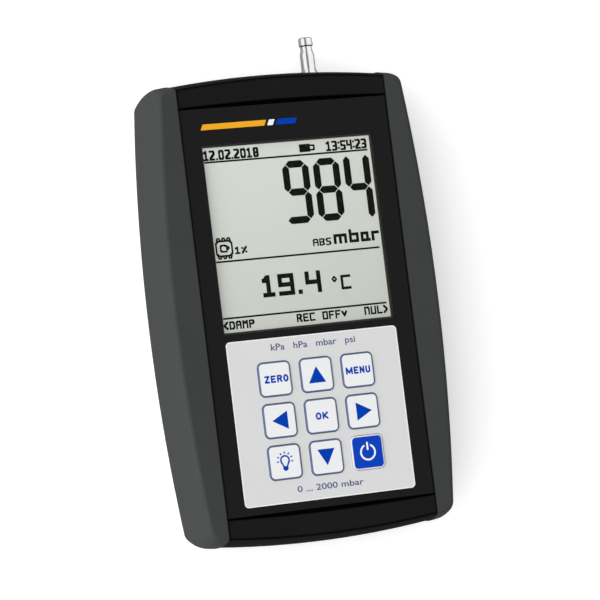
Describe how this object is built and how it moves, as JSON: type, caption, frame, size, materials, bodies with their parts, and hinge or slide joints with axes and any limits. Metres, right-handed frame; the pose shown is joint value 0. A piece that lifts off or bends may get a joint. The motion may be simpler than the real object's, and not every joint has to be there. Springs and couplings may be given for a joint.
{
  "type": "digital pressure gauge",
  "caption": "Hand-held digital pressure gauge with soft side grips, a large display, a square keypad and a hose nipple in its top end.",
  "frame": {"origin": "centre of the flat back face, on the surface that the gauge lies on", "axes": "+X to the right of a person reading the display, +Y along the housing towards the hose nipple, +Z out of the display"},
  "size_m": [0.0954, 0.1706, 0.031],
  "materials": {
    "housing_black": "fine-grained moulded",
    "grip_grey": "matt soft moulding",
    "panel_black": "satin printed sheet",
    "sheet_grey": "satin printed sheet",
    "window_clear": "clear acrylic",
    "bezel_black": "black",
    "display_grey": "pale grey-green display",
    "backlight_white": "diffusing",
    "strip_rubber": "soft",
    "board_green": "solder resist",
    "chip_black": "moulded",
    "dome_steel": "plated",
    "sensor_grey": "moulded",
    "hose_clear": "milky silicone",
    "nipple_steel": "turned and plated",
    "seal_rubber": "soft",
    "nut_steel": "plated",
    "contact_nickel": "nickel plated",
    "lead_red": "insulation",
    "cell_jacket": "printed jacket",
    "screw_steel": "zinc plated",
    "key_white": "printed",
    "key_blue": "printed"
  },
  "bodies": {
    "housing": {"back_shell": "housing_black", "front_shell": "housing_black", "left_grip": "grip_grey", "right_grip": "grip_grey", "front_panel": "panel_black", "keypad_sheet": "sheet_grey", "display_window": "window_clear", "display_bezel": "bezel_black", "display_glass": "display_grey", "display_backlight": "backlight_white", "contact_strips": "strip_rubber", "main_board": "board_green", "processor": "chip_black", "memory_chips": "chip_black", "buzzer": "chip_black", "snap_domes": "dome_steel", "pressure_sensor": "sensor_grey", "sensor_hose": "hose_clear", "hose_nipple": "nipple_steel", "nipple_seal": "seal_rubber", "nipple_nut": "nut_steel", "battery_contacts": "contact_nickel", "battery_springs": "contact_nickel", "battery_leads": "lead_red", "battery_cover": "housing_black", "cover_screw": "screw_steel", "board_screws": "screw_steel", "housing_screws": "screw_steel", "battery_cell_1": "cell_jacket", "battery_cell_2": "cell_jacket", "battery_cell_3": "cell_jacket", "battery_cell_4": "cell_jacket"},
    "key_zero_body": {"key_zero": "key_white"},
    "key_up_body": {"key_up": "key_white"},
    "key_menu_body": {"key_menu": "key_white"},
    "key_left_body": {"key_left": "key_white"},
    "key_ok_body": {"key_ok": "key_white"},
    "key_right_body": {"key_right": "key_white"},
    "key_light_body": {"key_light": "key_white"},
    "key_down_body": {"key_down": "key_white"},
    "key_power_body": {"key_power": "key_blue"}
  },
  "joints": [
    {"name": "press_zero", "type": "slide", "parent": "housing", "child": "key_zero_body", "axis": [0, 0, -1], "range_m": [0, 0.00035], "stiffness_N_per_m": 2000},
    {"name": "press_up", "type": "slide", "parent": "housing", "child": "key_up_body", "axis": [0, 0, -1], "range_m": [0, 0.00035], "stiffness_N_per_m": 2000},
    {"name": "press_menu", "type": "slide", "parent": "housing", "child": "key_menu_body", "axis": [0, 0, -1], "range_m": [0, 0.00035], "stiffness_N_per_m": 2000},
    {"name": "press_left", "type": "slide", "parent": "housing", "child": "key_left_body", "axis": [0, 0, -1], "range_m": [0, 0.00035], "stiffness_N_per_m": 2000},
    {"name": "press_ok", "type": "slide", "parent": "housing", "child": "key_ok_body", "axis": [0, 0, -1], "range_m": [0, 0.00035], "stiffness_N_per_m": 2000},
    {"name": "press_right", "type": "slide", "parent": "housing", "child": "key_right_body", "axis": [0, 0, -1], "range_m": [0, 0.00035], "stiffness_N_per_m": 2000},
    {"name": "press_light", "type": "slide", "parent": "housing", "child": "key_light_body", "axis": [0, 0, -1], "range_m": [0, 0.00035], "stiffness_N_per_m": 2000},
    {"name": "press_down", "type": "slide", "parent": "housing", "child": "key_down_body", "axis": [0, 0, -1], "range_m": [0, 0.00035], "stiffness_N_per_m": 2000},
    {"name": "press_power", "type": "slide", "parent": "housing", "child": "key_power_body", "axis": [0, 0, -1], "range_m": [0, 0.00035], "stiffness_N_per_m": 2000}
  ]
}
